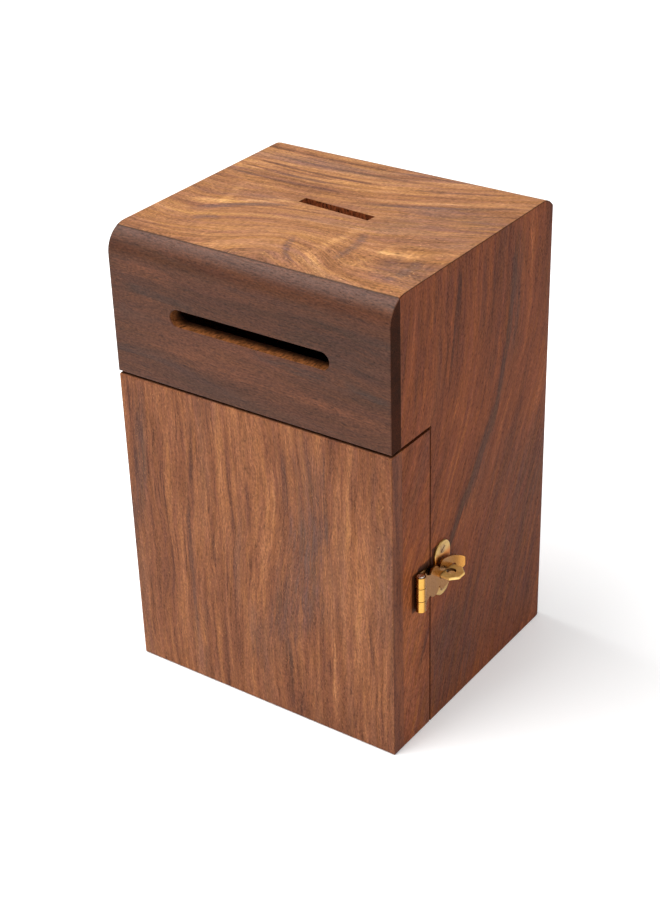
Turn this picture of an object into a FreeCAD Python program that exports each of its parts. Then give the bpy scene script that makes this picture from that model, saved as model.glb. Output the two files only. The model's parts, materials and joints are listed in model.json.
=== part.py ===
import FreeCAD, Part
import math
import os

# A wooden donation box. Its front is a shallow hinged tray that swings open on the left,
# and a small brass hasp on the right keeps it shut.
# Millimetres. The origin is the centre of the footprint on the ground, the front faces -Y,
# +Z is up, and +X is on the right of someone who faces the front.

V = FreeCAD.Vector

# the box
WIDTH = 150.0
DEPTH = 138.0
HEIGHT = 230.0
BOARD = 8.0
LEFT = -WIDTH / 2
RIGHT = WIDTH / 2
FRONT = -DEPTH / 2
BACK = DEPTH / 2
FRONT_ROUND = 12.5
BACK_ROUND = 12.0
FOOT_ROUND = 5.0
REAR_ARRIS = 4.0
ARRIS = 0.5

# the header board and its note slot
HEADER_BOARD = 7.4
HEADER_BOTTOM = 159.5
NOTE_SLOT_LENGTH = 85.6
NOTE_SLOT_HEIGHT = 8.4
NOTE_SLOT_X = 1.4
NOTE_SLOT_Z = 194.8

# the coin slot in the top board, shorter at its underside
COIN_SLOT_LENGTH = 39.4
COIN_SLOT_WIDTH = 5.5
COIN_SLOT_RAMP = 2.5
COIN_SLOT_Y = 1.9
COIN_SLOT_TURN = -3.5

# the door tray
DOOR_DEPTH = 31.0
SEAM = 0.6
DOOR_LEFT_INSET = 0.2
DOOR_FLOOR_GAP = 0.4
DOOR_TOP_GAP_LEFT = 1.2
DOOR_TOP_GAP_RIGHT = 1.3
DOOR_TOP_ARRIS = 1.1
DOOR_LEFT = LEFT + DOOR_LEFT_INSET
SEAM_BACK = FRONT + DOOR_DEPTH
SEAM_FRONT = SEAM_BACK - SEAM

# the two butt hinges in the left seam
HINGE_HEIGHTS = {"lower_hinge": 32.0, "upper_hinge": 126.0}
HINGE_LENGTH = 25.0
HINGE_PLATE = 0.8
HINGE_REACH = 6.8
HINGE_SCREW_SPREAD = 8.0
HINGE_KNUCKLE_R = 1.5
HINGE_PIN_R = 0.7
HINGE_AXIS_CLEARANCE = 0.3
PIN_HEAD = 0.35
PIN_HEAD_ROUND = 0.28
PIN_HEAD_SHARE = 0.7
HINGE_SCREW_INSET = 3.7
RUNNING_GAP = 0.05
KNUCKLE_GAP = 0.3
SWEPT_GAP = 0.3
HINGE_X = LEFT - HINGE_KNUCKLE_R - HINGE_AXIS_CLEARANCE
HINGE_Y = (SEAM_BACK + SEAM_FRONT) / 2

# the hasp's hinge and leaves, on the right face
HASP_Z = 80.8
HASP_KNUCKLE_R = 2.45
HASP_PIN_R = 1.25
HASP_AXIS_CLEARANCE = 0.1
HASP_X = RIGHT + HASP_KNUCKLE_R + HASP_AXIS_CLEARANCE
HASP_Y = FRONT + 18.7
HASP_LENGTH = 18.1
HASP_MIDDLE = 6.4
FIXED_LEAF_REACH = 11.0
FIXED_LEAF_TIP = 15.4
LEAF_PLATE = 0.8
LEAF_X = RIGHT + 2.0
LEAF_ROOM = 12.0
SLOT_START = 15.8
SLOT_END = 28.6
SLOT_HEIGHT = 3.0
CURL_START = 22.3
CURL_SLOW_R = 30.0
CURL_SLOW_DEG = 14.5
CURL_FAST_R = 11.0
CURL_FAST_DEG = 38.0
LEAF_SCREW_Y = HASP_Y + 7.0
LEAF_SCREW_SPREAD = 7.6

# the staple on the cabinet's right side
STAPLE_Y = FRONT + 40.6
STAPLE_Z = HASP_Z
STAPLE_PLATE_Y = STAPLE_Y - 0.7
STAPLE_PLATE_Z = STAPLE_Z + 1.4
STAPLE_PLATE = 1.0
STAPLE_WIDTH = 13.0
STAPLE_LENGTH = 28.6
STAPLE_SCREW_SPREAD = 20.4
TAB_ACROSS = 11.4
TAB_OUT = 5.1
TAB_THICKNESS = 1.5
TAB_BEVEL = 0.35
TENON_THICKNESS = 1.0
TENON_SHOULDER = 0.6
PADLOCK_HOLE_R = 2.3

# wood screws: head radius, shank radius and length
HINGE_SCREW = (1.6, 0.85, 7.0)
LEAF_SCREW = (1.6, 0.85, 6.5)
STAPLE_SCREW = (2.1, 1.1, 7.0)
SLOT_WIDTH_SHARE = 0.28
HEAD_DEPTH_SHARE = 0.45
DRIVER_SLOT_DEPTH = 0.35
DRIVER_SLOT_REACH = 1.2

# how far a cutter reaches past what it cuts
PAST = 1.0


def box(x0, x1, y0, y1, z0, z1):
    """A box between two corners."""
    return Part.makeBox(x1 - x0, y1 - y0, z1 - z0, V(x0, y0, z0))


def prism(points, along):
    """A closed outline of straight sides, pushed along a vector."""
    return Part.Face(Part.makePolygon(points + [points[0]])).extrude(along)


def cylinder_z(x, y, radius, z0, z1):
    """An upright cylinder."""
    return Part.makeCylinder(radius, z1 - z0, V(x, y, z0), V(0, 0, 1))


def arc(a, b, c):
    """An arc through three points."""
    return Part.Arc(a, b, c).toShape()


def softened(shape, radius, wanted):
    """Rounds the edges whose middle point passes a test."""
    edges = [e for e in shape.Edges if wanted(e.CenterOfMass)]
    return shape.makeFillet(radius, edges)


def near(a, b):
    """Are two lengths the same, within a hundredth?"""
    return abs(a - b) < 0.01


def screw(size, head, into):
    """A countersunk slotted wood screw with its flat head at a point, driven along a unit vector."""
    head_r, shank_r, length = size
    head_depth = head_r * HEAD_DEPTH_SHARE
    tip = 2 * shank_r
    solid = Part.makeCone(head_r, shank_r, head_depth, head, into)
    shank = Part.makeCylinder(shank_r, length - head_depth - tip, head + into * head_depth, into)
    point = Part.makeCone(shank_r, 0, tip, head + into * (length - tip), into)
    return solid.fuse(shank).fuse(point).removeSplitter()


def driver_slot(size, head, into, across):
    """The cutter for the screwdriver slot of a screw head."""
    head_r = size[0]
    width = head_r * SLOT_WIDTH_SHARE
    side = into.cross(across)
    reach = head_r * DRIVER_SLOT_REACH
    start = head - across * reach - side * (width / 2) - into * PAST
    corners = [start, start + across * (2 * reach)]
    corners += [corners[1] + side * width, start + side * width]
    return prism(corners, into * (DRIVER_SLOT_DEPTH + PAST))


def screws(size, heads, into, across):
    """Separate slotted screws, and the solid that their holes are cut with."""
    bodies = [screw(size, head, into) for head in heads]
    slotted = [b.cut(driver_slot(size, h, into, across)) for b, h in zip(bodies, heads)]
    return Part.makeCompound(slotted), Part.makeCompound(bodies)


def envelope():
    """The closed box's outer form: round top edges at front and back, softened sides."""
    x = LEFT
    top = HEIGHT - FRONT_ROUND
    rear = HEIGHT - BACK_ROUND
    bend = math.sqrt(0.5)
    edges = [
        Part.makeLine(V(x, FRONT, 0), V(x, FRONT, top)),
        arc(V(x, FRONT, top),
            V(x, FRONT + FRONT_ROUND * (1 - bend), top + FRONT_ROUND * bend),
            V(x, FRONT + FRONT_ROUND, HEIGHT)),
        Part.makeLine(V(x, FRONT + FRONT_ROUND, HEIGHT), V(x, BACK - BACK_ROUND, HEIGHT)),
        arc(V(x, BACK - BACK_ROUND, HEIGHT),
            V(x, BACK - BACK_ROUND * (1 - bend), rear + BACK_ROUND * bend),
            V(x, BACK, rear)),
        Part.makeLine(V(x, BACK, rear), V(x, BACK, FOOT_ROUND)),
        arc(V(x, BACK, FOOT_ROUND),
            V(x, BACK - FOOT_ROUND * (1 - bend), FOOT_ROUND * (1 - bend)),
            V(x, BACK - FOOT_ROUND, 0)),
        Part.makeLine(V(x, BACK - FOOT_ROUND, 0), V(x, FRONT, 0)),
    ]
    solid = Part.Face(Part.Wire(edges)).extrude(V(WIDTH, 0, 0))
    solid = softened(solid, ARRIS, lambda p: near(abs(p.x), RIGHT) and p.z > PAST)
    return solid.common(rear_corners())


def rear_corners():
    """An upright block whose two rear corners are rounded."""
    block = box(LEFT, RIGHT, FRONT, BACK, 0, HEIGHT)
    return softened(block, REAR_ARRIS, lambda p: near(abs(p.x), RIGHT) and near(p.y, BACK))


def side_panel(outer, side):
    """One L-shaped side board, mitred to the top; side is -1 on the left and 1 on the right."""
    face = side * RIGHT
    inner = face - side * BOARD
    section = [V(inner, 0, 0), V(face, 0, 0), V(face, 0, HEIGHT), V(inner, 0, HEIGHT - BOARD)]
    start = V(0, FRONT + HEADER_BOARD, 0)
    board = prism([p + start for p in section], V(0, DEPTH - HEADER_BOARD, 0))
    notch = box(LEFT - PAST, RIGHT + PAST, FRONT - PAST, SEAM_BACK, -PAST, HEADER_BOTTOM)
    board = outer.common(board).cut(notch)
    on_notch = lambda p: near(p.x, face) and (near(p.y, SEAM_BACK) or near(p.z, HEADER_BOTTOM))
    return softened(board, ARRIS, on_notch)


def top_panel(outer):
    """The top board, mitred to both sides, with the coin slot, which is cut slightly askew."""
    start = FRONT + HEADER_BOARD
    inner = RIGHT - BOARD
    under = HEIGHT - BOARD
    section = [V(LEFT, start, HEIGHT), V(RIGHT, start, HEIGHT),
               V(inner, start, under), V(-inner, start, under)]
    board = outer.common(prism(section, V(0, DEPTH - HEADER_BOARD, 0)))
    half = COIN_SLOT_LENGTH / 2
    ramp = PAST * COIN_SLOT_RAMP / BOARD
    y = COIN_SLOT_Y - COIN_SLOT_WIDTH / 2
    slot = [V(-half - ramp, y, HEIGHT + PAST), V(half + ramp, y, HEIGHT + PAST),
            V(half - COIN_SLOT_RAMP - ramp, y, under - PAST),
            V(-half + COIN_SLOT_RAMP + ramp, y, under - PAST)]
    cutter = prism(slot, V(0, COIN_SLOT_WIDTH, 0))
    cutter.rotate(V(0, COIN_SLOT_Y, HEIGHT), V(0, 0, 1), COIN_SLOT_TURN)
    return board.cut(cutter)


def back_panel(outer):
    """The back board, between the sides and under the top."""
    inner = RIGHT - BOARD
    return outer.common(box(-inner, inner, BACK - BOARD, BACK, 0, HEIGHT - BOARD))


def floor_panel():
    """The floor board, which ends where the door tray's own floor begins."""
    inner = RIGHT - BOARD
    return box(-inner, inner, SEAM_BACK, BACK - BOARD, 0, BOARD)


def header_panel(outer):
    """The front board over the door, with the round-ended note slot."""
    board = outer.common(box(LEFT, RIGHT, FRONT, FRONT + HEADER_BOARD, HEADER_BOTTOM, HEIGHT))
    lower = lambda p: near(p.y, FRONT) and near(p.z, HEADER_BOTTOM)
    board = softened(board, ARRIS, lower)
    radius = NOTE_SLOT_HEIGHT / 2
    reach = NOTE_SLOT_LENGTH / 2 - radius
    cutter = box(NOTE_SLOT_X - reach, NOTE_SLOT_X + reach, FRONT - PAST, FRONT + BOARD + PAST,
                 NOTE_SLOT_Z - radius, NOTE_SLOT_Z + radius)
    for end in (-reach, reach):
        centre = V(NOTE_SLOT_X + end, FRONT - PAST, NOTE_SLOT_Z)
        cutter = cutter.fuse(Part.makeCylinder(radius, BOARD + 2 * PAST, centre, V(0, 1, 0)))
    board = board.cut(cutter)
    mouth = lambda p: near(p.y, FRONT) and abs(p.z - NOTE_SLOT_Z) < NOTE_SLOT_HEIGHT
    return softened(board, ARRIS, mouth)


def door_cut():
    """What lies above the door's slightly sloping top edge."""
    low = HEADER_BOTTOM - DOOR_TOP_GAP_RIGHT
    high = HEADER_BOTTOM - DOOR_TOP_GAP_LEFT
    corners = [V(LEFT, FRONT - PAST, high), V(RIGHT, FRONT - PAST, low),
               V(RIGHT, FRONT - PAST, HEIGHT), V(LEFT, FRONT - PAST, HEIGHT)]
    return prism(corners, V(0, DEPTH, 0))


def door_boards():
    """The tray's full-width front board, the two side boards behind it and its bottom rail."""
    z = DOOR_FLOOR_GAP
    inner_left = DOOR_LEFT + BOARD
    inner_right = RIGHT - BOARD
    inner_front = FRONT + BOARD
    above = door_cut()
    front = box(DOOR_LEFT, RIGHT, FRONT, inner_front, z, HEADER_BOTTOM).cut(above)
    left = box(DOOR_LEFT, inner_left, inner_front, SEAM_FRONT, z, HEADER_BOTTOM).cut(above)
    right = box(inner_right, RIGHT, inner_front, SEAM_FRONT, z, HEADER_BOTTOM).cut(above)
    rail = box(inner_left, inner_right, inner_front, SEAM_FRONT, z, z + BOARD)
    seam_left = lambda p: near(p.x, DOOR_LEFT) and near(p.y, SEAM_FRONT)
    seam_right = lambda p: near(p.x, RIGHT) and near(p.y, SEAM_FRONT)
    left = softened(left, ARRIS, seam_left)
    right = softened(right, ARRIS, seam_right)
    middle = (z + HEADER_BOTTOM) / 2
    front = softened(front, DOOR_TOP_ARRIS, lambda p: near(p.y, FRONT) and p.z > HEADER_BOTTOM - BOARD)
    sides = lambda p: near(p.y, FRONT) and abs(p.z - middle) < BOARD
    foot = lambda p: near(p.y, FRONT) and near(p.z, z)
    front = softened(front, ARRIS, lambda p: sides(p) or foot(p))
    return front, left, right, rail


def barrel(x, y, spans, outer_r, bore_r):
    """Hinge knuckles on one axis, each with its bore."""
    return [cylinder_z(x, y, outer_r, z0, z1).cut(cylinder_z(x, y, bore_r, z0 - PAST, z1 + PAST))
            for z0, z1 in spans]


def knuckle_spans(z, length, middle):
    """The outer two knuckles, and the middle one between them, as height ranges."""
    low = z - length / 2
    high = z + length / 2
    outer = [(low, z - middle / 2 - KNUCKLE_GAP), (z + middle / 2 + KNUCKLE_GAP, high)]
    return outer, [(z - middle / 2, z + middle / 2)]


def hinge_pin(x, y, z, length, pin_r, knuckle_r):
    """A pin with a low domed head on each end of the barrel."""
    low = z - length / 2
    high = z + length / 2
    head_r = knuckle_r * PIN_HEAD_SHARE
    pin = cylinder_z(x, y, pin_r, low, high)
    for z0, z1, end in ((low - PIN_HEAD, low, low - PIN_HEAD), (high, high + PIN_HEAD, high + PIN_HEAD)):
        head = cylinder_z(x, y, head_r, z0, z1)
        pin = pin.fuse(softened(head, PIN_HEAD_ROUND, lambda p: near(p.z, end)))
    return pin.removeSplitter()


def leaf_with_knuckles(plate, x, y, own, other, knuckle_r, bore_r):
    """Joins a plate to its own knuckles and clears it of the other leaf's."""
    swept_r = knuckle_r + SWEPT_GAP
    for z0, z1 in other:
        plate = plate.cut(cylinder_z(x, y, swept_r, z0 - KNUCKLE_GAP, z1 + KNUCKLE_GAP))
    for tube in barrel(x, y, own, knuckle_r, bore_r):
        plate = plate.fuse(tube)
    for z0, z1 in own:
        plate = plate.cut(cylinder_z(x, y, bore_r, z0 - PAST, z1 + PAST))
    return plate.removeSplitter()


def butt_hinge(z):
    """One butt hinge in the left seam: two leaves, a pin, and the screws of both leaves."""
    low = z - HINGE_LENGTH / 2
    high = z + HINGE_LENGTH / 2
    end = LEFT + HINGE_REACH
    middle = HINGE_LENGTH / 3
    outer, inner = knuckle_spans(z, HINGE_LENGTH, middle)
    cabinet_plate = box(HINGE_X, end, SEAM_BACK, SEAM_BACK + HINGE_PLATE, low, high)
    door_plate = box(HINGE_X, end, SEAM_FRONT - HINGE_PLATE, SEAM_FRONT, low, high)
    cabinet_recess = box(LEFT - PAST, end, SEAM_BACK - PAST, SEAM_BACK + HINGE_PLATE, low, high)
    door_recess = box(LEFT - PAST, end, SEAM_FRONT - HINGE_PLATE, SEAM_FRONT + PAST, low, high)
    cabinet_leaf = leaf_with_knuckles(cabinet_plate, HINGE_X, HINGE_Y, outer, inner,
                                      HINGE_KNUCKLE_R, HINGE_PIN_R)
    door_leaf = leaf_with_knuckles(door_plate, HINGE_X, HINGE_Y, inner, outer,
                                   HINGE_KNUCKLE_R, HINGE_PIN_R + RUNNING_GAP)
    x = LEFT + HINGE_SCREW_INSET
    levels = (z - HINGE_SCREW_SPREAD, z + HINGE_SCREW_SPREAD)
    backward = V(0, 1, 0)
    forward = V(0, -1, 0)
    sideways = V(1, 0, 0)
    cabinet_screws, cabinet_holes = screws(
        HINGE_SCREW, [V(x, SEAM_BACK, level) for level in levels], backward, sideways)
    door_screws, door_holes = screws(
        HINGE_SCREW, [V(x, SEAM_FRONT, level) for level in levels], forward, sideways)
    return {
        "cabinet_leaf": cabinet_leaf.cut(cabinet_holes),
        "door_leaf": door_leaf.cut(door_holes),
        "pin": hinge_pin(HINGE_X, HINGE_Y, z, HINGE_LENGTH, HINGE_PIN_R, HINGE_KNUCKLE_R),
        "cabinet_screws": cabinet_screws,
        "door_screws": door_screws,
    }, cabinet_recess.fuse(cabinet_holes), door_recess.fuse(door_holes)


def at_leaf(y, z):
    """A point of the hasp leaf's outline, from its hinge axis and its middle height."""
    return V(RIGHT, HASP_Y + y, HASP_Z + z)


def leaf_outline():
    """The moving leaf's outline, pushed outward: a flared root, a waist, a small lobe, a long lobe."""
    root = HASP_MIDDLE / 2
    upper = [
        (Part.makeLine, [(0.0, root), (3.4, root)]),
        (Part.makeLine, [(3.4, root), (3.4, 8.4)]),
        (arc, [(3.4, 8.4), (3.5, 8.65), (3.8, 8.7)]),
        (arc, [(3.8, 8.7), (5.5, 6.6), (8.0, 5.6)]),
        (arc, [(8.0, 5.6), (10.3, 7.7), (15.1, 5.0)]),
        (arc, [(15.1, 5.0), (15.6, 4.8), (16.1, 5.0)]),
        (arc, [(16.1, 5.0), (17.3, 7.1), (19.7, 7.7)]),
        (arc, [(19.7, 7.7), (26.7, 5.8), (32.7, 2.9)]),
        (arc, [(32.7, 2.9), (33.6, 1.6), (33.9, 0.0)]),
    ]
    edges = [make(*[at_leaf(y, z) for y, z in points]) for make, points in upper]
    edges += [make(*[at_leaf(y, -z) for y, z in reversed(points)]) for make, points in reversed(upper)]
    edges.append(Part.makeLine(at_leaf(0.0, -root), at_leaf(0.0, root)))
    wire = Part.Wire(Part.sortEdges(edges)[0])
    return Part.Face(wire).extrude(V(LEAF_ROOM, 0, 0))


def bent_strip():
    """The sheet that the leaf is cut from: flat, then curling outward in two arcs."""
    def point(x, y):
        return V(x, HASP_Y + y, HASP_Z - LEAF_ROOM)

    def turned(centre_x, start_y, radius, degrees):
        angle = math.radians(degrees)
        return centre_x - radius * math.cos(angle), start_y + radius * math.sin(angle)

    def edge_line(offset):
        """The strip's inner (0) or outer (plate thickness) line as three edges and its end points."""
        x = LEAF_X + offset
        slow_r = CURL_SLOW_R - offset
        slow_x = LEAF_X + CURL_SLOW_R
        a = point(x, 0.0)
        b = point(x, CURL_START)
        mid = point(*turned(slow_x, CURL_START, slow_r, CURL_SLOW_DEG / 2))
        c = point(*turned(slow_x, CURL_START, slow_r, CURL_SLOW_DEG))
        back = CURL_SLOW_R - CURL_FAST_R
        fast_x, fast_y = turned(slow_x, CURL_START, back, CURL_SLOW_DEG)
        fast_r = CURL_FAST_R - offset
        half = (CURL_SLOW_DEG + CURL_FAST_DEG) / 2
        far = point(*turned(fast_x, fast_y, fast_r, half))
        d = point(*turned(fast_x, fast_y, fast_r, CURL_FAST_DEG))
        return [Part.makeLine(a, b), arc(b, mid, c), arc(c, far, d)], a, d

    inner, inner_start, inner_end = edge_line(0.0)
    outer, outer_start, outer_end = edge_line(LEAF_PLATE)
    caps = [Part.makeLine(inner_start, outer_start), Part.makeLine(inner_end, outer_end)]
    wire = Part.Wire(Part.sortEdges(inner + outer + caps)[0])
    return Part.Face(wire).extrude(V(0, 0, 2 * LEAF_ROOM))


def leaf_slot():
    """The horizontal round-ended slot that the staple tab comes through."""
    radius = SLOT_HEIGHT / 2
    y0 = HASP_Y + SLOT_START + radius
    y1 = HASP_Y + SLOT_END - radius
    cutter = box(RIGHT, RIGHT + LEAF_ROOM, y0, y1, STAPLE_Z - radius, STAPLE_Z + radius)
    for y in (y0, y1):
        cutter = cutter.fuse(Part.makeCylinder(radius, LEAF_ROOM, V(RIGHT, y, STAPLE_Z), V(1, 0, 0)))
    return cutter


def hasp():
    """The hasp's two leaves, its pin, and the two screws that the closed leaf hides."""
    outer, inner = knuckle_spans(HASP_Z, HASP_LENGTH, HASP_MIDDLE)
    half = HASP_LENGTH / 2
    tip = FIXED_LEAF_TIP / 2
    outline = [(0.0, -half), (HASP_KNUCKLE_R, -half), (FIXED_LEAF_REACH, -tip),
               (FIXED_LEAF_REACH, tip), (HASP_KNUCKLE_R, half), (0.0, half)]
    plate = prism([at_leaf(y, z) for y, z in outline], V(LEAF_PLATE, 0, 0))
    fixed = leaf_with_knuckles(plate, HASP_X, HASP_Y, outer, inner, HASP_KNUCKLE_R, HASP_PIN_R)
    strip = bent_strip().common(leaf_outline()).cut(leaf_slot())
    moving = leaf_with_knuckles(strip, HASP_X, HASP_Y, inner, outer,
                                HASP_KNUCKLE_R, HASP_PIN_R + RUNNING_GAP)
    spread = LEAF_SCREW_SPREAD / 2
    heads = [V(RIGHT + LEAF_PLATE, LEAF_SCREW_Y, HASP_Z + z) for z in (-spread, spread)]
    fasteners, holes = screws(LEAF_SCREW, heads, V(-1, 0, 0), V(0, 1, 0))
    return {
        "hasp_fixed_leaf": fixed.cut(holes),
        "hasp_moving_leaf": moving,
        "hasp_hinge_pin": hinge_pin(HASP_X, HASP_Y, HASP_Z, HASP_LENGTH, HASP_PIN_R, HASP_KNUCKLE_R),
        "hasp_leaf_screws": fasteners,
    }, holes


def staple_tab():
    """The octagonal tab, bevelled all round, whose root is let into the base plate."""
    half = TAB_ACROSS / 2
    corner = half * math.tan(math.radians(22.5))
    x = RIGHT + TAB_OUT
    z = STAPLE_Z - TAB_THICKNESS / 2
    steps = [(half, corner), (corner, half), (-corner, half), (-half, corner),
             (-half, -corner), (-corner, -half), (corner, -half), (half, -corner)]
    tab = prism([V(x + dx, STAPLE_Y + dy, z) for dx, dy in steps], V(0, 0, TAB_THICKNESS))
    face_edges = [e for e in tab.Edges if not near(e.CenterOfMass.z, STAPLE_Z)]
    tab = tab.makeChamfer(TAB_BEVEL, face_edges)
    tab = tab.cut(box(x - half - PAST, RIGHT + STAPLE_PLATE, STAPLE_Y - half - PAST,
                      STAPLE_Y + half + PAST, z - PAST, z + TAB_THICKNESS + PAST))
    tenon_half = half - (x - corner - RIGHT - STAPLE_PLATE) - TENON_SHOULDER
    tenon = box(RIGHT, RIGHT + STAPLE_PLATE, STAPLE_Y - tenon_half, STAPLE_Y + tenon_half,
                STAPLE_Z - TENON_THICKNESS / 2, STAPLE_Z + TENON_THICKNESS / 2)
    hole = cylinder_z(x, STAPLE_Y, PADLOCK_HOLE_R, z - PAST, z + TAB_THICKNESS + PAST)
    return tab.fuse(tenon).cut(hole).removeSplitter(), tenon


def staple():
    """The oval plate, the tab and the two screws of the staple."""
    tab, tenon = staple_tab()
    radius = STAPLE_WIDTH / 2
    reach = STAPLE_LENGTH / 2 - radius
    plate = box(RIGHT, RIGHT + STAPLE_PLATE, STAPLE_PLATE_Y - radius, STAPLE_PLATE_Y + radius,
                STAPLE_PLATE_Z - reach, STAPLE_PLATE_Z + reach)
    for z in (STAPLE_PLATE_Z - reach, STAPLE_PLATE_Z + reach):
        end = Part.makeCylinder(radius, STAPLE_PLATE, V(RIGHT, STAPLE_PLATE_Y, z), V(1, 0, 0))
        plate = plate.fuse(end)
    plate = plate.removeSplitter()
    outer_rim = lambda p: near(p.x, RIGHT + STAPLE_PLATE)
    plate = softened(plate, STAPLE_PLATE / 2, outer_rim)
    spread = STAPLE_SCREW_SPREAD / 2
    heads = [V(RIGHT + STAPLE_PLATE, STAPLE_PLATE_Y, STAPLE_PLATE_Z + z) for z in (-spread, spread)]
    fasteners, holes = screws(STAPLE_SCREW, heads, V(-1, 0, 0), V(0, 0.8, 0.6))
    return {
        "staple_base_plate": plate.cut(tenon).cut(holes),
        "staple_tab": tab,
        "staple_screws": fasteners,
    }, holes


def main():
    """Builds every piece and writes one STEP file for each."""
    outer = envelope()
    parts = {
        "side_panel_left": side_panel(outer, -1),
        "side_panel_right": side_panel(outer, 1),
        "top_panel": top_panel(outer),
        "back_panel": back_panel(outer),
        "floor_panel": floor_panel(),
        "header_panel": header_panel(outer),
    }
    front, left, right, rail = door_boards()
    for hinge, z in HINGE_HEIGHTS.items():
        pieces, cabinet_room, door_room = butt_hinge(z)
        parts["side_panel_left"] = parts["side_panel_left"].cut(cabinet_room)
        left = left.cut(door_room)
        for piece, shape in pieces.items():
            parts[hinge + "_" + piece] = shape
    hasp_pieces, leaf_holes = hasp()
    staple_pieces, staple_holes = staple()
    parts["side_panel_right"] = parts["side_panel_right"].cut(staple_holes)
    parts["door_front_panel"] = front
    parts["door_side_left"] = left
    parts["door_side_right"] = right.cut(leaf_holes)
    parts["door_bottom_rail"] = rail
    parts.update(hasp_pieces)
    parts.update(staple_pieces)

    os.makedirs("parts", exist_ok=True)
    for name, shape in parts.items():
        b = shape.BoundBox
        print(f"{name:32s} solids {len(shape.Solids)} valid {shape.isValid()} volume {shape.Volume:9.1f} "
              f"x {b.XMin:.2f}..{b.XMax:.2f} y {b.YMin:.2f}..{b.YMax:.2f} z {b.ZMin:.2f}..{b.ZMax:.2f}")
        shape.exportStep(os.path.join("parts", name + ".step"))


main()
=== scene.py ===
"""A wooden donation box: the finishes of its CAD bodies, and the stage that they stand on."""

import json
import math

import bpy
from mathutils import Matrix, Vector


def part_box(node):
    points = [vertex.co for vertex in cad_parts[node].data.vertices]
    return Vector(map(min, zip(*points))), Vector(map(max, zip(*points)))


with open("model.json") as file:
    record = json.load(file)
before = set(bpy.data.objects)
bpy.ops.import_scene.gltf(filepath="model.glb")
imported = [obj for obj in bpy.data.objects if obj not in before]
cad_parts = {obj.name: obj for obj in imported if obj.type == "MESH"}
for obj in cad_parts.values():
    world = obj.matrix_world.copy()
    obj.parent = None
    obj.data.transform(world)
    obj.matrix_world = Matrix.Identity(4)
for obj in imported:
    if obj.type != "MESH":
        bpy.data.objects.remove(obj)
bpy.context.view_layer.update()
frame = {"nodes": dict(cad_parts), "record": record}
nodes = frame["nodes"]

MM = 0.001


def corners(node):
    """A CAD node's lowest and highest corner in the frame, in millimetres."""
    return [[value / MM for value in point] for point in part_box(node)]


def centre_of(node, axis):
    """Where a CAD node's middle lies along one axis, in millimetres."""
    low, high = corners(node)
    return (low[axis] + high[axis]) / 2


# Places in the frame, in millimetres. HEADER_JOINT is where the header board ends and the top and
# the sides begin, and PIN_Y and PIN_Z are the middle of the hasp's hinge pin.
(_, FRONT, _), (_, HEADER_JOINT, _) = corners("header_panel")
RIGHT = corners("side_panel_right")[1][0]
BACK = corners("back_panel")[1][1]
HEIGHT = corners("top_panel")[1][2]
PIN_Y = centre_of("hasp_hinge_pin", 1)
PIN_Z = centre_of("hasp_hinge_pin", 2)

# Where the wood's figure is measured from: a line a little in front of the box's middle, and planes
# a little inside its front and back faces.
FIGURE_Y = -1.0
FIGURE_FRONT = FRONT + 1.0
FIGURE_BACK = BACK - 1.0

X = (1, 0, 0)
Y = (0, 1, 0)
Z = (0, 0, 1)


# ---------------------------------------------------------------- node helpers


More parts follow.
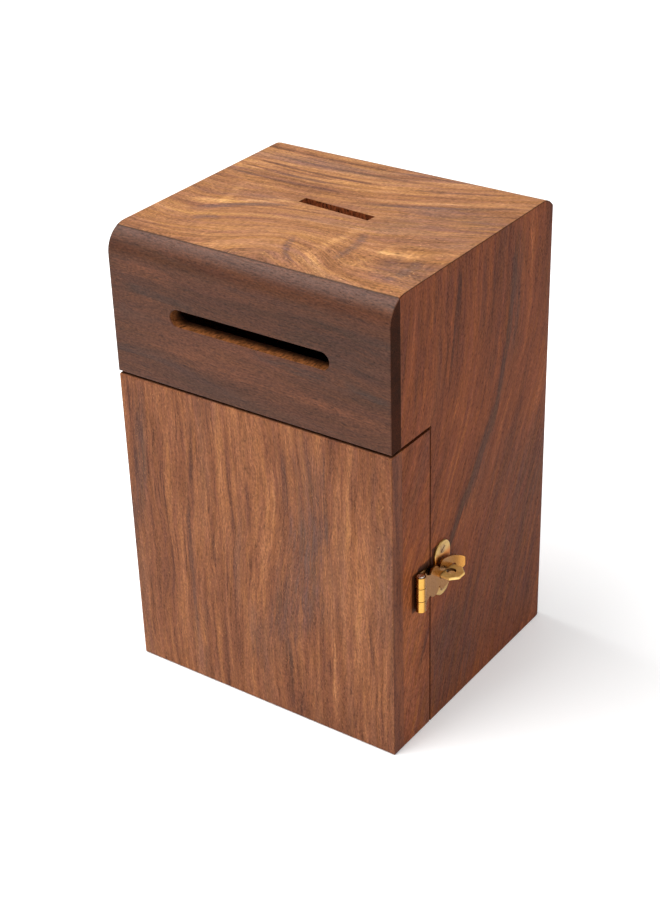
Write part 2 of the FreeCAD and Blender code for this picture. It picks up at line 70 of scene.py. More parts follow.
class Tree:
    """A material's node tree, with a short call for each kind of node that the materials need. An
    argument can be another node's output or a plain value."""

    def __init__(self, name):
        self.material = bpy.data.materials.new(name)
        self.material.use_nodes = True
        self.nodes = self.material.node_tree.nodes
        self.links = self.material.node_tree.links
        self.shader = self.nodes["Principled BSDF"]

    def plug(self, value, socket):
        """Links an output, or sets a plain value."""
        if isinstance(value, bpy.types.NodeSocket):
            self.links.new(value, socket)
        else:
            socket.default_value = value

    def math(self, operation, *values, clamp=False):
        node = self.nodes.new("ShaderNodeMath")
        node.operation = operation
        node.use_clamp = clamp
        for value, socket in zip(values, node.inputs):
            self.plug(value, socket)
        return node.outputs[0]

    def vector(self, operation, *values):
        node = self.nodes.new("ShaderNodeVectorMath")
        node.operation = operation
        for value, socket in zip(values, node.inputs):
            self.plug(value, socket)
        return node.outputs["Value" if operation in ("DOT_PRODUCT", "LENGTH") else "Vector"]

    def combine(self, x, y, z):
        node = self.nodes.new("ShaderNodeCombineXYZ")
        for value, socket in zip((x, y, z), node.inputs):
            self.plug(value, socket)
        return node.outputs[0]

    def noise(self, where, scale=1.0, detail=2.0, rough=0.5):
        """A soft noise from 0 to 1, with blobs about 1 / scale wide."""
        node = self.nodes.new("ShaderNodeTexNoise")
        self.plug(where, node.inputs["Vector"])
        node.inputs["Scale"].default_value = scale
        node.inputs["Detail"].default_value = detail
        node.inputs["Roughness"].default_value = rough
        return node.outputs["Fac"]

    def ramp(self, value, stops):
        """A colour ramp. Each stop is (position, grey or colour)."""
        node = self.nodes.new("ShaderNodeValToRGB")
        elements = node.color_ramp.elements
        while len(elements) < len(stops):
            elements.new(0.5)
        for element, (position, colour) in zip(elements, stops):
            element.position = position
            grey = isinstance(colour, (int, float))
            element.color = (colour, colour, colour, 1) if grey else (*colour, 1)
        self.plug(value, node.inputs["Fac"])
        return node.outputs["Color"]

    def mix(self, factor, a, b, blend="MIX"):
        node = self.nodes.new("ShaderNodeMix")
        node.data_type = "RGBA"
        node.blend_type = blend
        for value, name in ((factor, "Factor_Float"), (a, "A_Color"), (b, "B_Color")):
            socket = next(s for s in node.inputs if s.identifier == name)
            if isinstance(value, tuple) and len(value) == 3:
                value = (*value, 1)
            self.plug(value, socket)
        return next(s for s in node.outputs if s.identifier == "Result_Color")

    def step(self, value, low, high):
        """Rises smoothly from 0 at low to 1 at high."""
        node = self.nodes.new("ShaderNodeMapRange")
        node.interpolation_type = "SMOOTHSTEP"
        self.plug(value, node.inputs["Value"])
        node.inputs["From Min"].default_value = low
        node.inputs["From Max"].default_value = high
        return node.outputs["Result"]

    def bump(self, height, distance, strength):
        """A surface normal that shows `height` as a relief of about `distance`, in metres."""
        node = self.nodes.new("ShaderNodeBump")
        node.inputs["Distance"].default_value = distance
        node.inputs["Strength"].default_value = strength
        self.plug(height, node.inputs["Height"])
        return node.outputs["Normal"]

    def place(self):
        """Object coordinates, which for every piece are the frame's own, in metres."""
        return self.nodes.new("ShaderNodeTexCoord").outputs["Object"]

    def millimetres(self):
        """The place in the frame in millimetres."""
        return self.vector("MULTIPLY", self.place(), (1 / MM, 1 / MM, 1 / MM))

    def axes(self):
        """The place in the frame in millimetres, as one number each for x, y and z."""
        split = self.nodes.new("ShaderNodeSeparateXYZ")
        self.plug(self.millimetres(), split.inputs[0])
        return split.outputs

    def facing(self):
        """The surface normal in the object's own space."""
        return self.nodes.new("ShaderNodeTexCoord").outputs["Normal"]

    def facing_part(self, axis):
        """How far a surface faces along one axis of the frame, either way, from 0 to 1."""
        split = self.nodes.new("ShaderNodeSeparateXYZ")
        self.plug(self.facing(), split.inputs[0])
        return self.math("ABSOLUTE", split.outputs[axis])


# ---------------------------------------------------------------- wood


class Board:
    """How one board is cut from the tree, in millimetres: u along the grain, v across the face
    that shows and w through the board. `layer` is v with the grain's bends taken out."""

    def __init__(self, name, origin, grain, across):
        self.tree = t = Tree(name)
        self.grain = Vector(grain)
        across = Vector(across)
        place = t.vector("SUBTRACT", t.place(), tuple(Vector(origin) * MM))
        axes = (self.grain, across, self.grain.cross(across))
        self.u, self.v, self.w = [t.vector("DOT_PRODUCT", place, tuple(axis / MM)) for axis in axes]
        self.layer = self.v

    def lean(self, slope):
        """Tilts the grain: v changes by `slope` for each millimetre of u."""
        self.layer = self.tree.math("MULTIPLY_ADD", self.u, -slope, self.layer)

    def bend(self, u0, soft, slope, side=1, inside=None):
        """Turns the grain off by `slope` above u0 (side 1) or below it (side -1), over a length of
        about `soft`. The two values of `inside` are where on v the turn begins and is complete."""
        t = self.tree
        past = t.math("MULTIPLY_ADD", self.u, side, -side * u0)
        root = t.math("SQRT", t.math("MULTIPLY_ADD", past, past, soft * soft))
        turn = t.math("MULTIPLY", t.math("ADD", past, root), slope / 2)
        if inside:
            turn = t.math("MULTIPLY", turn, t.step(self.v, *inside))
        self.layer = t.math("SUBTRACT", self.layer, turn)

    def swell(self, u0, v0, length, width, push):
        """A knot's swelling, `length` by `width`, that pushes the grain aside by up to `push`."""
        t = self.tree
        du = t.math("DIVIDE", t.math("SUBTRACT", self.u, u0), length)
        dv = t.math("DIVIDE", t.math("SUBTRACT", self.v, v0), width)
        square = t.math("MULTIPLY_ADD", du, du, t.math("MULTIPLY", dv, dv))
        near = t.math("EXPONENT", t.math("MULTIPLY", square, -0.5))
        self.layer = t.math("MULTIPLY_ADD", near, -push, self.layer)

    def wander(self, along, cross, reach, seed):
        """Lets the grain wander sideways by up to about `reach`."""
        t = self.tree
        swing = t.noise(self.figure(along, cross, seed), detail=2.0)
        self.layer = t.math("MULTIPLY_ADD", t.math("SUBTRACT", swing, 0.5), 3 * reach, self.layer)

    def figure(self, along, cross, seed):
        """Coordinates for a noise whose blobs are `along` mm by `cross` mm and follow the grain.
        The seed moves them to another part of the noise."""
        t = self.tree
        return t.combine(t.math("MULTIPLY_ADD", self.u, 1 / along, seed),
                         t.math("MULTIPLY", self.layer, 1 / cross),
                         t.math("MULTIPLY_ADD", self.w, 1 / cross, seed * 0.37))

    def swing(self, along, cross, seed, detail=2.0, rough=0.5):
        """A noise that follows the grain, from about -0.5 to 0.5."""
        value = self.tree.noise(self.figure(along, cross, seed), detail=detail, rough=rough)
        return self.tree.math("SUBTRACT", value, 0.5)

    def stroke(self, start, end, sag, half, ragged, threads):
        """A mask along a soft curved line from start to end, both (u, v); `sag` is how far its
        middle lies to the left of the straight line, and `half` is its half-width. `ragged`
        moves its edges, and `threads` splits it into fibres."""
        t = self.tree
        run = Vector((end[0] - start[0], end[1] - start[1]))
        length = run.length
        run /= length
        du = t.math("SUBTRACT", self.u, start[0])
        dv = t.math("SUBTRACT", self.v, start[1])
        along = t.math("MULTIPLY_ADD", du, run.x / length, t.math("MULTIPLY", dv, run.y / length))
        off = t.math("MULTIPLY_ADD", dv, run.x, t.math("MULTIPLY", du, -run.y))
        bow = t.math("MULTIPLY", along, t.math("SUBTRACT", 1.0, along))
        off = t.math("MULTIPLY_ADD", bow, -4 * sag, off)
        off = t.math("MULTIPLY_ADD", ragged, half * 2.2, off)
        body = t.step(t.math("ABSOLUTE", off), half * 1.5, half * 0.2)
        ends = t.math("MULTIPLY", t.step(along, -0.05, 0.25), t.step(along, 1.05, 0.75))
        return t.math("MULTIPLY", t.math("MULTIPLY", body, ends), threads)


PURPLE_TINT = (0.95, 0.93, 1.22)
ORANGE_TINT = (1.05, 1.05, 0.8)
WHITE = (1.0, 1.0, 1.0)
PORE_DEPTH = 0.08 * MM


def wood(board, palette, seed, tone=0.5, bands=(0.6, 0.45, 0.25), strokes=(),
         grey=(0.09, 0.06, 0.05), rose=0.5, fibre=0.3, fleck=0.3, pore=0.5, ripple=0.0,
         roughness=0.5, specular=0.1, end_tint=(0.42, 0.42, 0.42), extra=None):
    """An oiled hardwood board's surface.

    palette: albedos from the darkest to the lightest streaks. tone: the middle of the board on
    that scale. bands: how strong the broad, middle and fine bands are. strokes: the board's own
    streaks, each (start, end, sag, half-width, strength, greyness), with a negative strength for
    a dark one. grey: the colour of the grey parts. rose: how far the hue swings between purple
    and orange. fibre, fleck, pore and ripple: how strong the hairs along the grain, the light
    flecks, the dark pores and the shimmer across the grain are. roughness: that of the lightest
    fibres. specular: the shader's specular level. end_tint: what the end grain's colour is
    multiplied by. extra: a function that paints slots, joints and dirt over the colour.

    Each swing's first two numbers are the length and the width of its blobs in millimetres."""
    t = board.tree
    board.wander(70, 24, 3.0, seed)
    board.wander(20, 7, 0.9, seed + 4.1)
    broad, middle, fine = bands
    shade = t.math("MULTIPLY_ADD", board.swing(190, 15, seed + 1.3), 2 * broad, tone)
    streaks = board.swing(55, 3.6, seed + 2.7, detail=3.0, rough=0.6)
    shade = t.math("MULTIPLY_ADD", streaks, 2 * middle, shade)
    lines = t.step(board.swing(34, 1.25, seed + 5.9, detail=4.0, rough=0.65), 0.0, 0.26)
    patchy = t.step(board.swing(45, 14, seed + 6.3, detail=3.0), -0.12, 0.16)
    shade = t.math("MULTIPLY_ADD", t.math("MULTIPLY", lines, patchy), -fine, shade)

    # The board's own streaks, over the colour's broad, middle and fine bands.
    ragged = board.swing(22, 2.8, seed + 8.8, detail=4.0, rough=0.65)
    greyness = t.math("MULTIPLY", t.step(board.swing(120, 11, seed + 9.7), 0.02, 0.3), 0.4)
    threads = board.swing(16, 1.1, seed + 10.9, detail=4.0, rough=0.7)
    threads = t.math("MULTIPLY_ADD", threads, 3.4, 0.7, clamp=True)
    for start, end, sag, half, strength, grey_share in strokes:
        mask = board.stroke(start, end, sag, half, ragged, threads)
        shade = t.math("MULTIPLY_ADD", mask, strength, shade)
        greyness = t.math("MULTIPLY_ADD", mask, grey_share, greyness)
    stops = [(i / (len(palette) - 1), colour) for i, colour in enumerate(palette)]
    colour = t.ramp(shade, stops)
    colour = t.mix(t.math("MINIMUM", greyness, 0.85), colour, grey)
    hue = board.swing(26, 3.2, seed + 11.3, detail=4.0, rough=0.65)
    hue = t.math("MULTIPLY_ADD", hue, rose * 3, 0.5, clamp=True)
    colour = t.mix(1.0, colour, t.mix(hue, PURPLE_TINT, ORANGE_TINT), "MULTIPLY")

    # The fine grain: hairs, specks, pores and flecks.
    hair = board.swing(7.0, 0.7, seed + 12.1, detail=3.0, rough=0.7)
    speck = board.swing(1.5, 0.65, seed + 13.9, detail=1.5)
    grain = t.math("MULTIPLY_ADD", speck, 3.2 * fibre, 1.0)
    grain = t.math("MULTIPLY_ADD", hair, 2.8 * fibre, grain)
    if ripple:
        grain = t.math("MULTIPLY_ADD", board.swing(1.5, 9.0, seed + 15.5), ripple, grain)
    colour = t.mix(1.0, colour, grain, "MULTIPLY")
    pores = t.step(board.swing(4.0, 0.45, seed + 17.3, detail=1.0), 0.11, 0.2)
    colour = t.mix(t.math("MULTIPLY", pores, pore), colour, tuple(c * 0.4 for c in palette[0]))
    flecks = t.step(board.swing(1.3, 0.5, seed + 19.7, detail=0.0), 0.22, 0.34)
    colour = t.mix(t.math("MULTIPLY", flecks, fleck), colour, tuple(c * 1.25 for c in palette[-1]))

    along = t.math("ABSOLUTE", t.vector("DOT_PRODUCT", t.facing(), tuple(board.grain)))
    end_grain = t.step(along, 0.75, 0.97)
    colour = t.mix(end_grain, colour, t.mix(1.0, colour, end_tint, "MULTIPLY"))
    if extra:
        colour = extra(board, colour)

    t.plug(colour, t.shader.inputs["Base Color"])
    rough = t.ramp(grain, [(0.0, roughness + 0.2), (1.0, roughness)])
    t.plug(t.mix(end_grain, rough, WHITE), t.shader.inputs["Roughness"])
    t.shader.inputs["Specular IOR Level"].default_value = specular
    relief = t.math("MULTIPLY_ADD", pores, -0.6, t.math("MULTIPLY_ADD", speck, 0.4, hair))
    t.plug(t.bump(relief, PORE_DEPTH, 0.6), t.shader.inputs["Normal"])
    return t.material


# Glue in the joints, dirt on the handled edges, painted shade in the slots, painted shadow round
# the hasp.
GLUE = (0.03, 0.014, 0.009)
SLOT_SHADE = (0.012, 0.006, 0.004)
HANDLED = (0.035, 0.014, 0.008)
HASP_SHADOW = (0.02, 0.007, 0.004)

# A slot's cut wall: its colours for the note slot and the coin slot, its saw marks per millimetre
# along x, y and z, and how far its edge fades.
NOTE_WALL = (0.2, 0.07, 0.022)
COIN_WALL = (0.14, 0.033, 0.01)
SAW_MARKS = (0.9, 0.35, 0.35)
WALL_FADE = 0.12

# Patches of painted shadow round the barrel, above the leaf and round the staple's plate. Each has
# its middle, from the hasp's pin, and its half-size, both along y and z, and how softly it ends.
HASP_SHADOW_PATCHES = [
    ((3.3, -0.3), (6.2, 9.6), 1.0),
    ((7.8, 8.2), (5.5, 2.4), 1.4),
    ((16.1, 3.2), (2.2, 11.5), 0.9),
]


def joint_line(board, colour, half, dark):
    """A thin dark glue line, `half` wide on each side of where the header board ends."""
    t = board.tree
    off = t.math("ABSOLUTE", t.math("SUBTRACT", t.axes()[1], HEADER_JOINT))
    mask = t.math("MULTIPLY", t.step(off, half, half * 0.2), dark)
    return t.mix(mask, colour, GLUE)


def slot_wall(board, colour, opening, reach, wall, inward):
    """Paints the rough cut walls of a slot, with painted shade that gets darker away from its
    mouth.
    `reach` is how far the walls lie outside the openings that the record states for the slot, along
    x, y and z. `inward` is the axis that leads in, where the painted shade begins and where it
    ends."""
    t = board.tree
    stated = frame["record"]["physics"]["openings"]
    boxes = [o["box_m"] for o in stated if o["name"].startswith(opening)]
    mask = 1.0
    for axis, place in enumerate(t.axes()):
        low = min(box[0][axis] for box in boxes) / MM
        high = max(box[1][axis] for box in boxes) / MM
        middle = (low + high) / 2
        half = (high - low) / 2 + reach[axis]
        off = t.math("ABSOLUTE", t.math("SUBTRACT", place, middle))
        mask = t.math("MULTIPLY", t.step(off, half, half - WALL_FADE), mask)
    chatter = t.noise(t.vector("MULTIPLY", t.millimetres(), SAW_MARKS), detail=2.0, rough=0.7)
    shares = ((0.32, 0.2), (0.5, 1.0), (0.7, 1.7))
    cut = [(place, tuple(c * share for c in wall)) for place, share in shares]
    axis, begins, ends = inward
    # Painted shade: the walls get darker deeper inside the slot.
    deep_slot_shade = t.math("MULTIPLY", t.step(t.axes()[axis], begins, ends), 0.93)
    return t.mix(mask, colour, t.mix(deep_slot_shade, t.ramp(chatter, cut), SLOT_SHADE))


def corner_line(board, colour, wear):
    """Darkens the softened edges, where the surface turns from facing sideways."""
    t = board.tree
    sideways = t.facing_part(0)
    mask = t.math("MULTIPLY", t.step(sideways, 0.12, 0.4), t.step(sideways, 0.97, 0.8))
    return t.mix(t.math("MULTIPLY", mask, wear), colour, HANDLED)


def hasp_shadow(board, colour):
    """Paints shadow on the right side's outer face around the hasp."""
    t = board.tree
    spots = t.axes()
    outside = t.step(spots[0], RIGHT - 1.0, RIGHT - 0.1)
    for (y, z), (half_y, half_z), soft in HASP_SHADOW_PATCHES:
        mask = outside
        for place, centre, half in ((spots[1], PIN_Y + y, half_y), (spots[2], PIN_Z + z, half_z)):
            past = t.math("SUBTRACT", t.math("ABSOLUTE", t.math("SUBTRACT", place, centre)), half)
            mask = t.math("MULTIPLY", mask, t.step(past, soft, 0.0))
        # Each patch is painted shadow round the hasp.
        colour = t.mix(t.math("MULTIPLY", mask, 0.8), colour, HASP_SHADOW)
    return colour


# Each kind of board's albedos, from its darkest to its lightest streaks.
HEADER = [(0.03, 0.013, 0.008), (0.06, 0.024, 0.0135), (0.097, 0.035, 0.0175), (0.14, 0.049, 0.023)]
TOP = [(0.125, 0.05, 0.024), (0.245, 0.103, 0.043), (0.37, 0.172, 0.07), (0.53, 0.285, 0.112)]
DOOR = [(0.08, 0.028, 0.014), (0.175, 0.06, 0.025), (0.285, 0.109, 0.043), (0.405, 0.178, 0.071)]
SIDE = [(0.052, 0.017, 0.008), (0.12, 0.032, 0.012), (0.19, 0.05, 0.016), (0.27, 0.082, 0.027)]
DOOR_EDGE_TINT = (0.6, 0.45, 0.38)


def top_board():
    """Golden, with long streaks at the back, and a soft swirl round a knot near the front."""
    board = Board("top_wood", (0, FIGURE_Y, HEIGHT), X, Y)
    board.bend(-8, 22, 0.42, inside=(-66, 8))
    board.swell(2, -44, 19, 22, 18)
    board.swell(-60, -28, 16, 20, -9)
    strokes = [
        ((-75, 20), (-5, 22), -2.5, 1.1, -0.6, 0.2),
        ((-75, 29), (-12, 28), -2.0, 1.1, -0.75, 0.2),
        ((-75, 37), (5, 38), -3.0, 1.1, -0.75, 0.2),
        ((-75, 46), (20, 50), -3.5, 1.2, -0.75, 0.2),
        ((-75, 54), (40, 60), -3.0, 1.0, -0.6, 0.2),
        ((-55, 50), (-10, 50), -1.0, 0.8, -0.5, 0.1),
        ((-60, 33), (-20, 32), -1.0, 0.8, -0.5, 0.1),
        ((10, 38), (60, 58), -2.0, 0.9, -0.5, 0.3),
        ((0, 13), (75, 48), -3.5, 1.4, -0.75, 0.5),
        ((-8, 16), (75, 55), -4.5, 1.8, 0.35, 0.0),
        ((-58, -31), (-18, -3), 3.0, 2.2, -0.75, 0.6),
        ((-66, -22), (-18, 4), -2.0, 3.4, 0.4, 0.0),
        ((-50, -39), (-38, -32), 1.5, 2.4, -0.45, 0.5),
        ((-56, 6), (-50, -22), 2.0, 2.6, 0.3, 0.0),
        ((22, -8), (17, -40), 1.0, 2.8, 0.3, 0.0),
        ((17, -36), (38, -60), -3.5, 3.4, 0.3, 0.0),
        ((2, -30), (20, -58), -4.0, 1.8, -0.45, 0.5),
        ((26, -12), (30, -46), 3.0, 2.4, -0.35, 0.5),
        ((44, -14), (38, -50), 3.0, 2.0, 0.2, 0.0),
        ((62, -20), (60, -56), 3.0, 2.4, -0.2, 0.3),
        ((-75, -60), (75, -60), 0.0, 5.0, -0.1, 0.0),
        ((25, 18), (75, 26), 2.0, 8.0, -0.2, 0.4),
        ((42, -28), (62, -26), 0.0, 3.5, 0.22, 0.0),
        ((48, -42), (78, -40), 0.0, 12.0, -0.25, 0.35),
        ((20, 0), (78, 6), 0.0, 16.0, -0.06, 0.3),
    ]

    def extra(board, colour):
        colour = slot_wall(board, colour, "coin_slot", reach=(4.0, 2.0, -1.1), wall=COIN_WALL,
                           inward=(2, HEIGHT - 2, HEIGHT - 9))
        colour = corner_line(board, colour, wear=0.75)
        return joint_line(board, colour, half=0.9, dark=0.85)

    return wood(board, TOP, seed=8.0, tone=0.47, bands=(0.42, 0.58, 0.36), strokes=strokes,
                grey=(0.2, 0.115, 0.085), rose=0.75, fibre=0.4, fleck=0.45, ripple=0.4,
                specular=0.08, extra=extra)


def header_board():
    """Charcoal brown, with reddish bands low down and darker patches beside the slot."""
    board = Board("header_wood", (0, FIGURE_FRONT, 0), X, Z)
    board.lean(-0.035)
    strokes = [
        ((-75, 214), (-35, 212), 0.0, 3.0, 0.3, 0.0),
        ((-70, 205), (-25, 201), 0.0, 2.4, -0.25, 0.4),
        ((-60, 178), (40, 172), 0.0, 4.5, 0.25, 0.0),
        ((0, 188), (48, 186), 0.0, 1.8, -0.3, 0.4),
        ((50, 187), (76, 183), 0.0, 2.0, -0.35, 0.5),
        ((25, 175), (76, 171), 0.0, 2.2, 0.3, 0.0),
        ((15, 200), (80, 196), 0.0, 15.0, -0.22, 0.2),
    ]

    def extra(board, colour):
        colour = slot_wall(board, colour, "note_slot", reach=(3.0, -1.35, 0.9), wall=NOTE_WALL,
                           inward=(1, FRONT + 2, HEADER_JOINT + 0.1))
        return joint_line(board, colour, half=0.4, dark=0.6)

    return wood(board, HEADER, seed=3.0, tone=0.55, bands=(0.4, 0.35, 0.25), strokes=strokes,
                grey=(0.06, 0.036, 0.028), rose=0.3, fibre=0.42, roughness=0.36, specular=0.12,
                end_tint=(0.42, 0.3, 0.2), extra=extra)


def door_board():
    """Upright streaks of red-brown and orange, and a broad, faint grey band that comes down from
    the right. The board's edges are darker."""
    board = Board("door_wood", (0, FIGURE_FRONT, 0), Z, X)
    board.swell(125, 12, 38, 18, 5)
    board.swell(30, 4, 38, 18, -5)
    strokes = [
        ((158, -66), (70, -74), -3.0, 4.0, -0.35, 0.3),
        ((150, -33), (105, -37), 0.0, 1.1, -0.4, 0.1),
        ((130, -27), (50, -23), 1.0, 1.0, -0.35, 0.1),
        ((110, -39), (0, -37), 1.5, 1.3, -0.3, 0.3),
        ((50, -34), (0, -35), -1.0, 1.4, -0.25, 0.3),
        ((150, -14), (85, -12), 1.0, 1.2, -0.35, 0.1),
        ((125, -4), (95, -3), 0.0, 1.4, -0.25, 0.1),
        ((158, -29), (100, -29), 0.0, 2.4, 0.25, 0.0),
        ((158, -18), (70, -20), 0.0, 2.4, 0.25, 0.0),
        ((150, 18), (110, 19), 0.0, 1.6, -0.35, 0.3),
        ((158, 34), (20, 2), -8.0, 11.0, -0.2, 0.5),
        ((120, 34), (50, 31), 0.0, 9.0, -0.1, 0.35),
        ((150, 14), (20, -12), -5.0, 3.4, 0.22, 0.0),
        ((60, -3), (20, -4), 0.0, 3.5, -0.2, 0.4),
        ((105, 41), (0, 43), 0.0, 1.5, 0.5, 0.0),
        ((158, 40), (100, 39), 0.0, 1.2, -0.3, 0.2),
        ((60, 51), (0, 53), 0.0, 1.2, -0.3, 0.1),
        ((158, 48), (30, 60), 0.0, 9.0, 0.2, 0.0),
        ((75, 62), (40, 65), 0.0, 0.9, -0.4, 0.1),
        ((120, 72), (55, 70), 0.0, 4.0, -0.12, 0.3),
        ((45, 17), (0, 18), 0.0, 1.0, -0.3, 0.1),
    ]

    def extra(board, colour):
        t = board.tree
        edge = t.step(t.facing_part(0), 0.8, 0.98)
        return t.mix(edge, colour, t.mix(1.0, colour, DOOR_EDGE_TINT, "MULTIPLY"))

    return wood(board, DOOR, seed=14.0, tone=0.44, bands=(0.37, 0.62, 0.54), strokes=strokes,
                grey=(0.135, 0.07, 0.05), fibre=0.38, pore=0.4, extra=extra)


def side_board(name, seed, tone=0.5, strokes=()):
    """Red-brown, with the grain upright at the top and sweeping forward lower down."""
    board = Board(name, (RIGHT, FIGURE_Y, 0), Z, Y)
    board.bend(170, 30, -0.6, side=-1)
    board.bend(70, 30, 0.3, side=-1)

    def extra(board, colour):
        colour = hasp_shadow(board, corner_line(board, colour, wear=0.75))
        return joint_line(board, colour, half=0.35, dark=0.6)

    return wood(board, SIDE, seed, tone=tone, bands=(0.35, 0.6, 0.38), strokes=strokes,
                grey=(0.1, 0.04, 0.025), rose=1.0, fibre=0.5, fleck=0.2, pore=0.22,
                specular=0.05, end_tint=(0.6, 0.6, 0.6), extra=extra)


def right_side_board():
    """The cabinet's side with the staple: a long dark streak runs down and forward to the hasp."""
    strokes = [
        ((222, 34), (125, 12), -5.0, 2.2, -0.9, 0.6),
        ((150, 23), (100, -9), 1.0, 2.8, -1.0, 0.8),
        ((124, 4), (86, -24), 0.0, 1.6, -1.2, 0.8),
        ((232, 38), (160, 33), 0.0, 6.0, -0.25, 0.6),
        ((232, 8), (175, 4), 0.0, 2.0, -0.2, 0.2),
        ((232, -30), (180, -40), 0.0, 2.0, -0.3, 0.1),
        ((232, -12), (170, -24), -1.0, 1.6, -0.3, 0.1),
        ((225, -46), (165, -50), 0.0, 1.5, -0.25, 0.1),
        ((188, -22), (138, -31), -1.0, 1.6, 0.3, 0.0),
        ((175, -8), (150, -22), -1.0, 1.2, 0.3, 0.0),
        ((230, -22), (165, -38), -1.0, 3.0, -0.15, 0.1),
        ((175, 14), (160, 13), 0.0, 1.6, -0.25, 0.2),
        ((160, 8), (80, -32), 0.0, 12.0, 0.12, 0.0),
        ((130, 60), (0, 30), 8.0, 44.0, -0.12, 0.5),
        ((62, -30), (0, -10), 0.0, 24.0, -0.26, 0.6),
        ((45, -8), (20, -14), 0.0, 2.0, 0.2, 0.0),
        ((228, 65), (20, 66), 0.0, 1.6, 0.15, 0.5),
    ]
    return side_board("right_side_wood", seed=21.0, tone=0.54, strokes=strokes)


def return_board():
    """The door's return, a little lighter than the cabinet's side behind it."""
    strokes = [
        ((58, -37), (34, -48), 0.0, 1.4, -0.5, 0.4),
        ((150, -62), (90, -60), 2.0, 1.2, -0.5, 0.2),
        ((60, -64), (36, -60), -1.0, 1.0, -0.45, 0.2),
        ((158, -66), (0, -65), 0.0, 2.0, -0.12, 0.2),
        ((130, -55), (0, -56), 0.0, 4.5, 0.25, 0.0),
        ((100, -46), (30, -48), 0.0, 5.0, 0.2, 0.0),
        ((30, -40), (0, -46), 0.0, 6.0, -0.15, 0.4),
        ((80, -52), (-10, -50), 0.0, 16.0, 0.42, 0.25),
    ]
    return side_board("return_wood", seed=22.0, tone=0.64, strokes=strokes)


def inner_board():
    """Plain wood for the floor and the door's bottom rail."""
    return wood(Board("inner_wood", (0, 0, 4), X, Y), DOOR, seed=41.0)


def back_board():
    """Upright and plain, of the same wood as the sides."""
    return wood(Board("back_wood", (0, FIGURE_BACK, 0), Z, X), SIDE, seed=52.0, tone=0.55)


# ---------------------------------------------------------------- metal


GOLD = (0.7, 0.38, 0.085)
OLD_GOLD = (0.58, 0.29, 0.055)
# A painted reflection on the staple's plate, beside the tab.
TAB_REFLECTION = (0.52, 0.16, 0.02)
DULL_GOLD = (0.54, 0.25, 0.06)
# Painted shade on the hinge brass: where it meets the wood, and on its sides.
BARREL_FOOT_SHADE = (0.18, 0.1, 0.03)
SHADED_BRASS = (0.24, 0.1, 0.02)
# Painted shade inside the padlock hole.
HOLE_SHADE = (0.06, 0.025, 0.008)
MARK_DEPTH = 0.02 * MM

# Which way the barrel's bright side faces; the brass is painted darker, as shade, where it turns
# away.
BRIGHT_SIDE_WAY = (0.6, -0.8, 0.0)


def metal(name, colour, dark, rough, seed, tint_more=None):
    """Polished metal with fine rubbing marks and slight tarnish, from `colour` to `dark`.
    `tint_more` is a function that tints parts of it."""
    t = Tree(name)
    place = t.millimetres()
    cloud = t.noise(t.vector("ADD", place, (seed, 0.0, 0.0)), scale=0.3, detail=3, rough=0.5)
    marks = t.noise(t.vector("MULTIPLY", place, (1.0, 1.4, 0.3)), scale=2.2, detail=3, rough=0.6)
    tint = t.mix(t.step(cloud, 0.35, 0.75), colour, dark)
    if tint_more:
        tint = tint_more(t, tint)
    t.plug(tint, t.shader.inputs["Base Color"])
    t.shader.inputs["Metallic"].default_value = 1.0
    t.plug(t.ramp(marks, [(0.35, rough), (0.7, rough + 0.12)]), t.shader.inputs["Roughness"])
    t.plug(t.bump(marks, MARK_DEPTH, 0.3), t.shader.inputs["Normal"])
    return t.material


def barrel_painted_shade(t, tint):
    """Brass with painted shade where it meets the wood and on the sides that turn away from its
    bright outer front.
    """
    low = t.step(t.axes()[0], RIGHT + 2.2, RIGHT + 0.2)
    # Painted shade where the brass meets the wood.
    tint = t.mix(t.math("MULTIPLY", low, 0.8), tint, BARREL_FOOT_SHADE)
    bright_facing = t.vector("DOT_PRODUCT", t.facing(), BRIGHT_SIDE_WAY)
    # Painted shade on the sides that turn away from the bright outer front.
    return t.mix(t.math("MULTIPLY", t.step(bright_facing, 0.96, 0.7), 0.85), tint, SHADED_BRASS)


def leaf_zones(t, tint):
    """The moving leaf: a golden knuckle, a rosy root whose tint is a painted reflection of the
    wood, and a duller golden far end.
    """
    back = t.axes()[1]
    knuckle = t.step(back, PIN_Y + 2.7, PIN_Y + 2.1)
    far = t.step(back, PIN_Y + 11.3, PIN_Y + 16.3)
    tint = t.mix(far, tint, DULL_GOLD)
    return barrel_painted_shade(t, t.mix(knuckle, tint, GOLD))


def plate_zones(t, tint):
    """The staple's plate: paler at its ends, with amber beside the tab as a painted reflection of
    the tab and the leaf.
    """
    off = t.math("ABSOLUTE", t.math("SUBTRACT", t.axes()[2], PIN_Z + 0.7))
    # Painted reflection of the tab and the leaf, in amber, beside the tab.
    return t.mix(t.step(off, 11.0, 6.5), tint, TAB_REFLECTION)


def dark_hole(t, tint):
    """Paints shade on the inner wall of the tab's padlock hole."""
    hole = next(m for m in frame["record"]["mounts"] if m["name"] == "padlock_hole")
    x, y = [v / MM for v in hole["pos_m"][:2]]
    spots = t.axes()
    dx = t.math("SUBTRACT", spots[0], x)
    dy = t.math("SUBTRACT", spots[1], y)
    reach = t.math("SQRT", t.math("MULTIPLY_ADD", dx, dx, t.math("MULTIPLY", dy, dy)))
    radius = hole["dims"]["r_mm"]
    upright = t.step(t.facing_part(2), 0.6, 0.3)
    mask = t.math("MULTIPLY", t.step(reach, radius + 0.3, radius + 0.1), upright)
    # Painted shade on the hole's inner wall.
    return t.mix(mask, tint, HOLE_SHADE)


def leaf_brass():
    # The base colour is the rosy root's, a painted reflection of the wood.
    return metal("leaf_brass", (0.5, 0.27, 0.12), (0.4, 0.2, 0.09), 0.22, seed=1.0,
                 tint_more=leaf_zones)


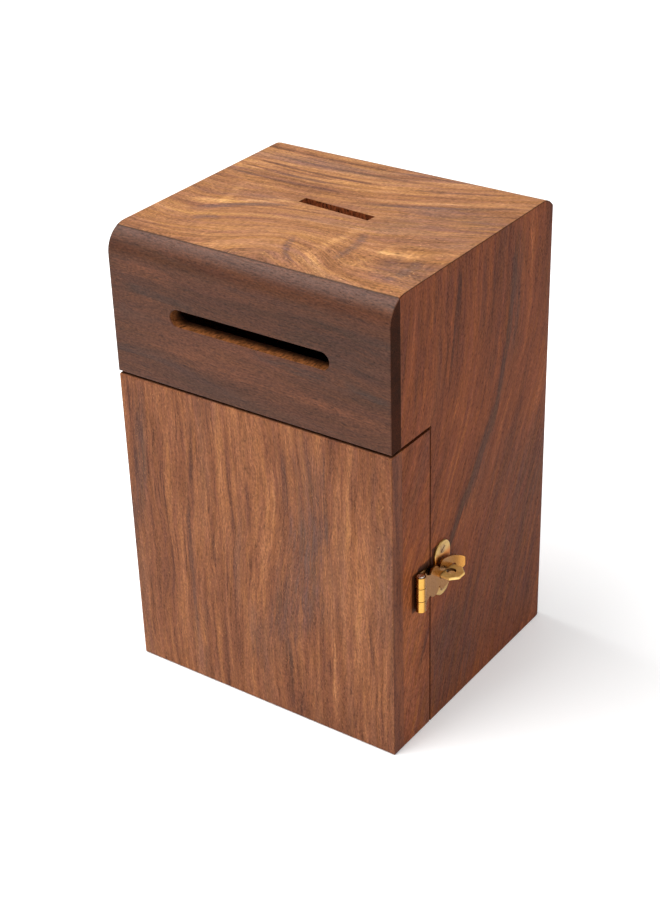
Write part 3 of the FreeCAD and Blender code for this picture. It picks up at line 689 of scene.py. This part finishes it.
def barrel_brass():
    return metal("barrel_brass", GOLD, OLD_GOLD, 0.2, seed=2.0, tint_more=barrel_painted_shade)


def tab_brass():
    return metal("tab_brass", (0.98, 0.68, 0.26), (0.82, 0.48, 0.13), 0.48, seed=3.0,
                 tint_more=dark_hole)


def plate_brass():
    return metal("plate_brass", (0.56, 0.36, 0.12), (0.34, 0.18, 0.05), 0.3, seed=6.0,
                 tint_more=plate_zones)


def screw_brass():
    return metal("screw_brass", (0.4, 0.24, 0.1), (0.2, 0.1, 0.04), 0.3, seed=4.0)


def pin_metal():
    return metal("pin_metal", (0.85, 0.82, 0.76), (0.7, 0.66, 0.58), 0.18, seed=5.0)


# ---------------------------------------------------------------- the CAD nodes' finishes

left_side = side_board("left_side_wood", seed=63.0)
inner = inner_board()
hinge_brass = barrel_brass()
pin_finish = pin_metal()
screw_finish = screw_brass()

FINISHES = {
    "header_panel": header_board(), "top_panel": top_board(), "back_panel": back_board(),
    "side_panel_left": left_side, "side_panel_right": right_side_board(),
    "door_front_panel": door_board(),
    "door_side_left": left_side, "door_side_right": return_board(),
    "floor_panel": inner, "door_bottom_rail": inner,
    "staple_tab": tab_brass(), "staple_base_plate": plate_brass(), "hasp_moving_leaf": leaf_brass(),
}

for name, node in nodes.items():
    finish = FINISHES.get(name, hinge_brass)
    if name.endswith("_pin"):
        finish = pin_finish
    elif name.endswith("_screws"):
        finish = screw_finish
    node.data.materials.clear()
    node.data.materials.append(finish)


# ---------------------------------------------------------------- stage, lights and camera

# The floor's half-width in metres, its faint glow, and where on the way out the glow ends and where
# it is still whole.
FLOOR_HALF = 4.0
FLOOR_GLOW = 0.14
GLOW_ENDS, GLOW_WHOLE = 3.6, 1.3

# How strong the even white light from all round is.
WORLD_LIGHT = 0.45

# Each light's name, place in metres, width and height, and power in watts. All of them face AIM.
AIM = (0, 0, 0.1)
LIGHTS = [
    ("key", (-0.5, -0.9, 1.5), (1.1, 0.9), 24.0),
    ("overhead", (-0.75, -0.1, 1.45), (0.7, 0.7), 13.0),
    ("top_fill", (0.35, 0.35, 1.5), (0.8, 0.8), 4.5),
    ("right_fill", (1.4, -0.5, 0.7), (0.7, 0.9), 4.0),
]

# The viewpoint, in front, to the right and above, as solved from the box's own edges: degrees from
# the front to the right, degrees up, degrees of roll, the place in metres, and the lens and sensor
# in millimetres.
VIEW_AZIMUTH, VIEW_ELEVATION, VIEW_ROLL = 35.7078, 29.5652, -1.7141
VIEW_PLACE = Vector((0.42944, -0.60599, 0.52821))
LENS, SENSOR = 70.94, 36.0


def stage_floor():
    """A wide, pale floor that glows faintly near the object, like paper lit from below."""
    mesh = bpy.data.meshes.new("floor")
    sides = [(-1, -1), (1, -1), (1, 1), (-1, 1)]
    points = [(x * FLOOR_HALF, y * FLOOR_HALF, 0) for x, y in sides]
    mesh.from_pydata(points, [], [(0, 1, 2, 3)])
    floor = bpy.data.objects.new("floor", mesh)
    bpy.context.scene.collection.objects.link(floor)
    t = Tree("floor_paper")
    cloud = t.noise(t.place(), scale=3.0, detail=2)
    t.plug(t.ramp(cloud, [(0.3, 0.94), (0.7, 0.96)]), t.shader.inputs["Base Color"])
    t.shader.inputs["Roughness"].default_value = 0.9
    t.shader.inputs["Emission Color"].default_value = (1.0, 1.0, 1.0, 1.0)
    glow = t.step(t.vector("LENGTH", t.place()), GLOW_ENDS, GLOW_WHOLE)
    t.plug(t.math("MULTIPLY", glow, FLOOR_GLOW), t.shader.inputs["Emission Strength"])
    mesh.materials.append(t.material)


def soft_light(name, place, size, watts):
    """A large rectangular light that faces AIM."""
    data = bpy.data.lights.new(name, "AREA")
    data.shape = "RECTANGLE"
    data.size, data.size_y = size
    data.energy = watts
    light = bpy.data.objects.new(name, data)
    light.location = place
    light.rotation_euler = (Vector(AIM) - Vector(place)).to_track_quat("-Z", "Y").to_euler()
    bpy.context.scene.collection.objects.link(light)


def camera():
    """Sets the scene's camera at the viewpoint."""
    angles = (VIEW_AZIMUTH, VIEW_ELEVATION, VIEW_ROLL)
    azimuth, elevation, roll = (math.radians(angle) for angle in angles)
    back = Vector((math.sin(azimuth) * math.cos(elevation),
                   -math.cos(azimuth) * math.cos(elevation), math.sin(elevation)))
    right = Vector(Z).cross(back).normalized()
    up = back.cross(right)
    turned_right = right * math.cos(roll) + up * math.sin(roll)
    turned_up = up * math.cos(roll) - right * math.sin(roll)
    data = bpy.data.cameras.new("camera")
    data.lens = LENS
    data.sensor_width = SENSOR
    data.clip_start = 0.01
    cam = bpy.data.objects.new("camera", data)
    cam.matrix_world = Matrix((
        (turned_right.x, turned_up.x, back.x, VIEW_PLACE.x),
        (turned_right.y, turned_up.y, back.y, VIEW_PLACE.y),
        (turned_right.z, turned_up.z, back.z, VIEW_PLACE.z),
        (0, 0, 0, 1)))
    bpy.context.scene.collection.objects.link(cam)
    bpy.context.scene.camera = cam


def studio_world():
    """Even white light from all round, shown without any film look."""
    world = bpy.data.worlds.new("studio")
    world.use_nodes = True
    background = world.node_tree.nodes["Background"]
    background.inputs["Color"].default_value = (1, 1, 1, 1)
    background.inputs["Strength"].default_value = WORLD_LIGHT
    bpy.context.scene.world = world
    bpy.context.scene.view_settings.view_transform = "Standard"


stage_floor()
camera()
for name, place, size, watts in LIGHTS:
    soft_light(name, place, size, watts)
studio_world()
